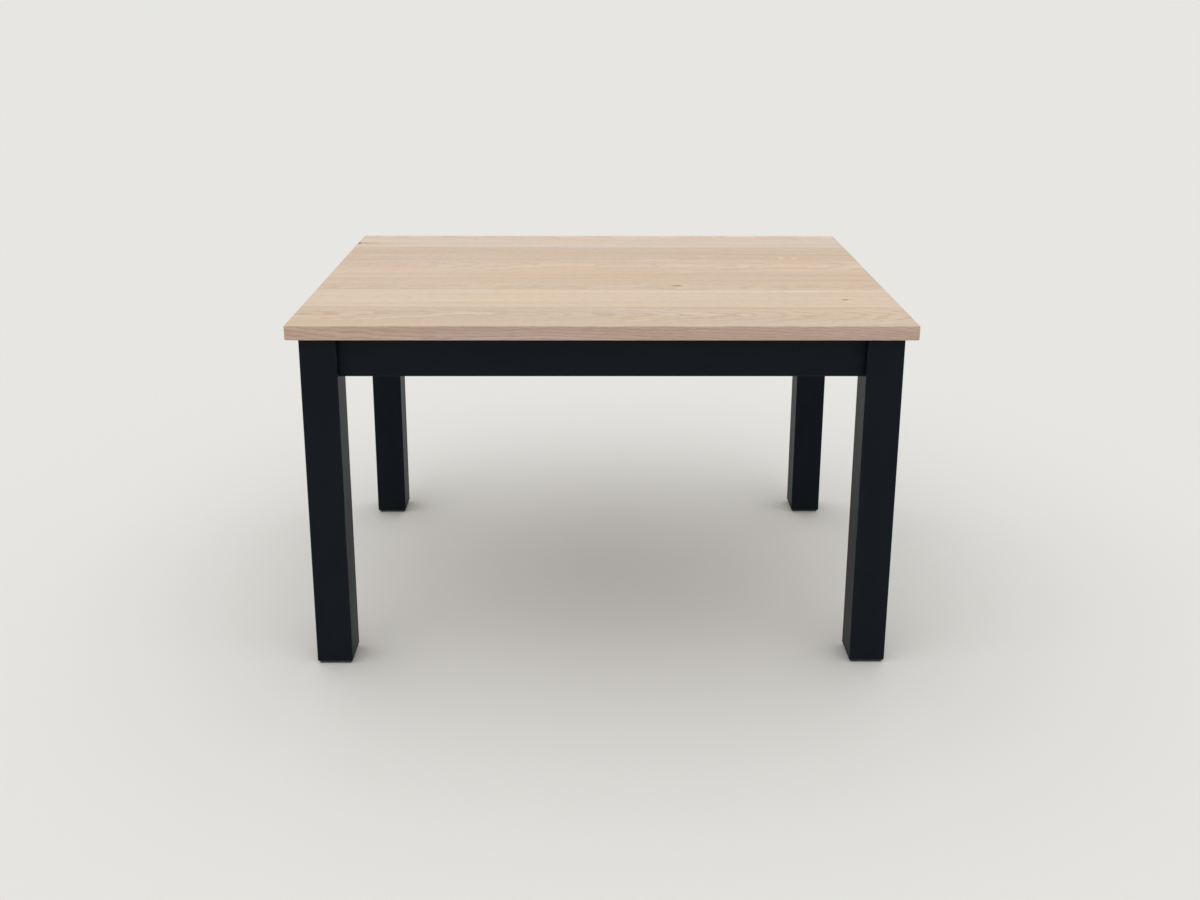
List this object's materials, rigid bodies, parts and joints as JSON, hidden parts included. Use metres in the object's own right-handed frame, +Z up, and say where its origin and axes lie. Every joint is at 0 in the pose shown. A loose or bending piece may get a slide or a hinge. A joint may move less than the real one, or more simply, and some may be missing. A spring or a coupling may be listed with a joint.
{
  "type": "dining table",
  "caption": "Rectangular dining table: a light oak board top on a black painted frame of square legs and set-back aprons, with bolted corner brackets.",
  "frame": {"origin": "on the floor, under the middle of the table", "axes": "+X along the length of the top, +Y from the front to the back, +Z up"},
  "size_m": [1.26, 0.87, 0.76],
  "materials": {
    "oak": "whitened oak, matt oil",
    "beech": "bare beech",
    "black_paint": "black paint, satin, on wood",
    "zinc_steel": "zinc plated",
    "felt": "dense dark grey felt"
  },
  "bodies": {
    "root": {"top_board_1": "oak", "top_board_2": "oak", "top_board_3": "oak", "top_board_4": "oak", "top_board_5": "oak", "top_board_6": "oak", "top_tongue_1": "beech", "top_tongue_2": "beech", "top_tongue_3": "beech", "top_tongue_4": "beech", "top_tongue_5": "beech", "leg_front_left": "black_paint", "leg_front_right": "black_paint", "leg_back_left": "black_paint", "leg_back_right": "black_paint", "apron_front": "black_paint", "apron_back": "black_paint", "apron_left": "black_paint", "apron_right": "black_paint", "cross_batten": "black_paint", "loose_tenons": "beech", "corner_bracket_front_left": "zinc_steel", "corner_bracket_front_right": "zinc_steel", "corner_bracket_back_left": "zinc_steel", "corner_bracket_back_right": "zinc_steel", "bracket_screws": "zinc_steel", "hanger_bolts": "zinc_steel", "bolt_washers": "zinc_steel", "bolt_nuts": "zinc_steel", "top_clips": "zinc_steel", "clip_screws": "zinc_steel", "batten_screws": "zinc_steel", "felt_pad_front_left": "felt", "felt_pad_front_right": "felt", "felt_pad_back_left": "felt", "felt_pad_back_right": "felt"}
  },
  "joints": []
}
